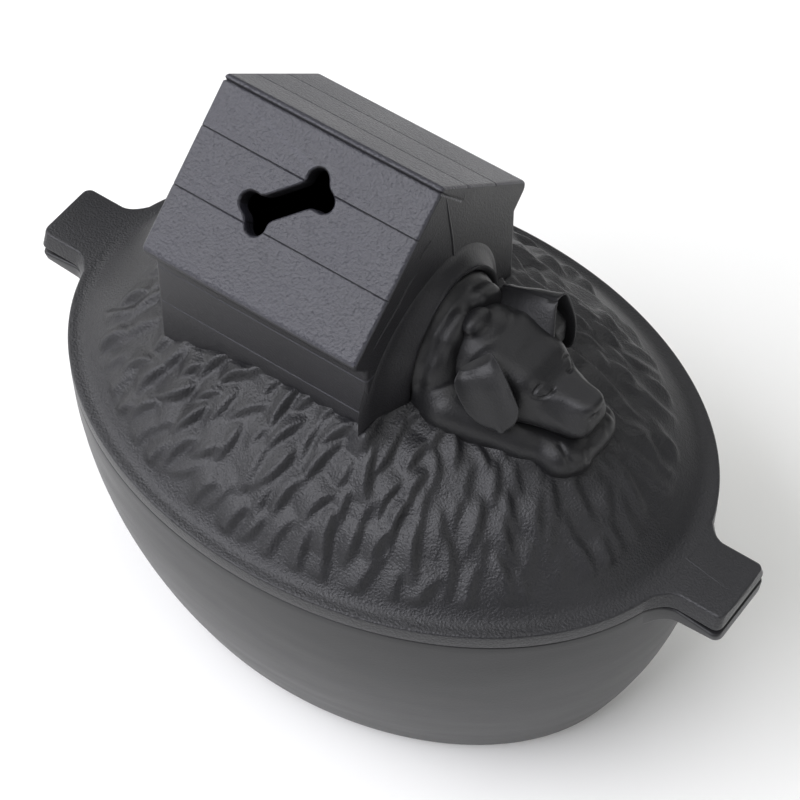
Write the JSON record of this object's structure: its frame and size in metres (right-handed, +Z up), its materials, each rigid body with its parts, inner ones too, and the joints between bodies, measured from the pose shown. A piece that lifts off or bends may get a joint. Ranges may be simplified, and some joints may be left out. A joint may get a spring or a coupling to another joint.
{
  "type": "stove steamer with lid",
  "caption": "Cast iron stove-top steamer: oval water pot with end handles, and a lift-off lid shaped as a doghouse with a bone-shaped vent and a puppy.",
  "frame": {"origin": "middle of the pot's resting face, which is also the bottom centre of the whole object's box", "axes": "+X runs along the oval's long axis towards the puppy's nose, +Z is up, +Y is across the oval away from the roof slope with the bone-shaped vent"},
  "size_m": [0.325, 0.2, 0.253],
  "materials": {
    "pot_iron": "satin black cast iron",
    "lid_iron": "matte black sand-cast iron"
  },
  "bodies": {
    "pot": {"pot": "pot_iron"},
    "lid": {"lid": "lid_iron"}
  },
  "joints": [
    {"name": "lid_lift", "type": "slide", "parent": "pot", "child": "lid", "axis": [0, 0, 1], "range_m": [0, 0.12]}
  ]
}
